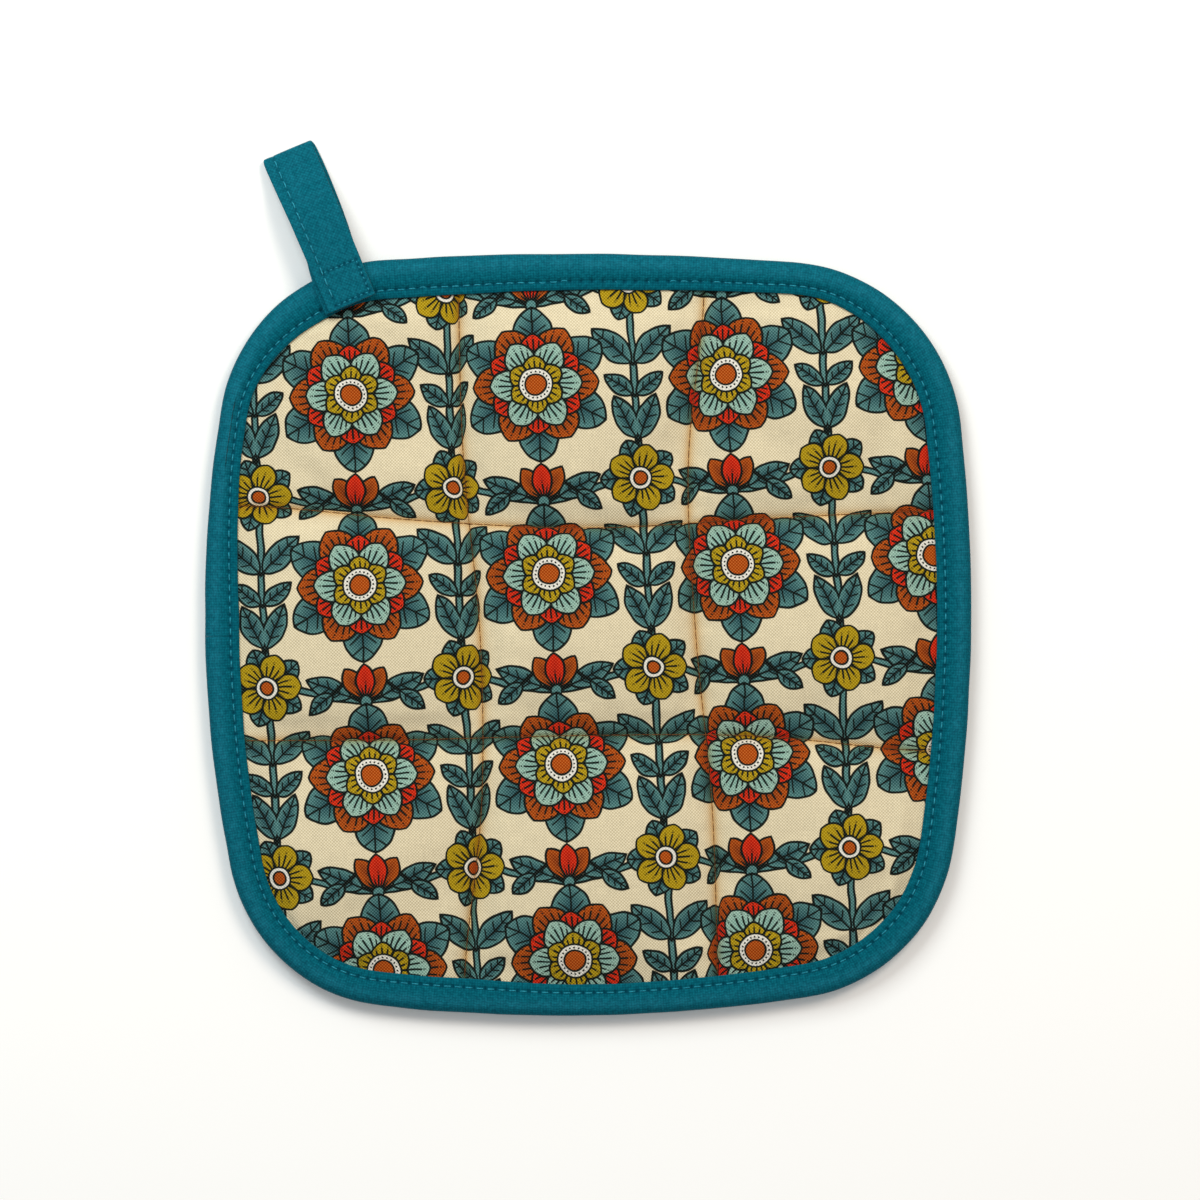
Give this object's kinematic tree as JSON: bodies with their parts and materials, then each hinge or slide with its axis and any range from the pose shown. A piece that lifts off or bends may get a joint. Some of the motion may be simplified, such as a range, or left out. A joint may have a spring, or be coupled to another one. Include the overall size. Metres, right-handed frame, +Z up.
{
  "type": "quilted pot holder",
  "caption": "Square quilted pot holder with round corners, floral printed cotton face, teal bias binding and a hanging loop at one corner.",
  "frame": {"origin": "middle of the pad's underside, on the surface that it lies on", "axes": "+Z up, out of the printed face; +Y across the pad towards the edge that the loop leaves; the loop is at the -X end of that edge"},
  "size_m": [0.2033, 0.2329, 0.0092],
  "materials": {
    "printed_cotton": "plain-woven cotton, cream with a floral print in teal, aqua, mustard, rust and red",
    "teal_cotton": "plain-woven cotton dyed deep teal, cut on the bias, with a soft sheen",
    "backing_cotton": "plain-woven unprinted cream cotton",
    "quilting_thread": "thin rust-brown sewing thread",
    "teal_thread": "light teal sewing thread"
  },
  "bodies": {
    "root": {"quilted_pad": "printed_cotton", "binding": "teal_cotton", "hanging_loop": "teal_cotton"}
  },
  "joints": []
}
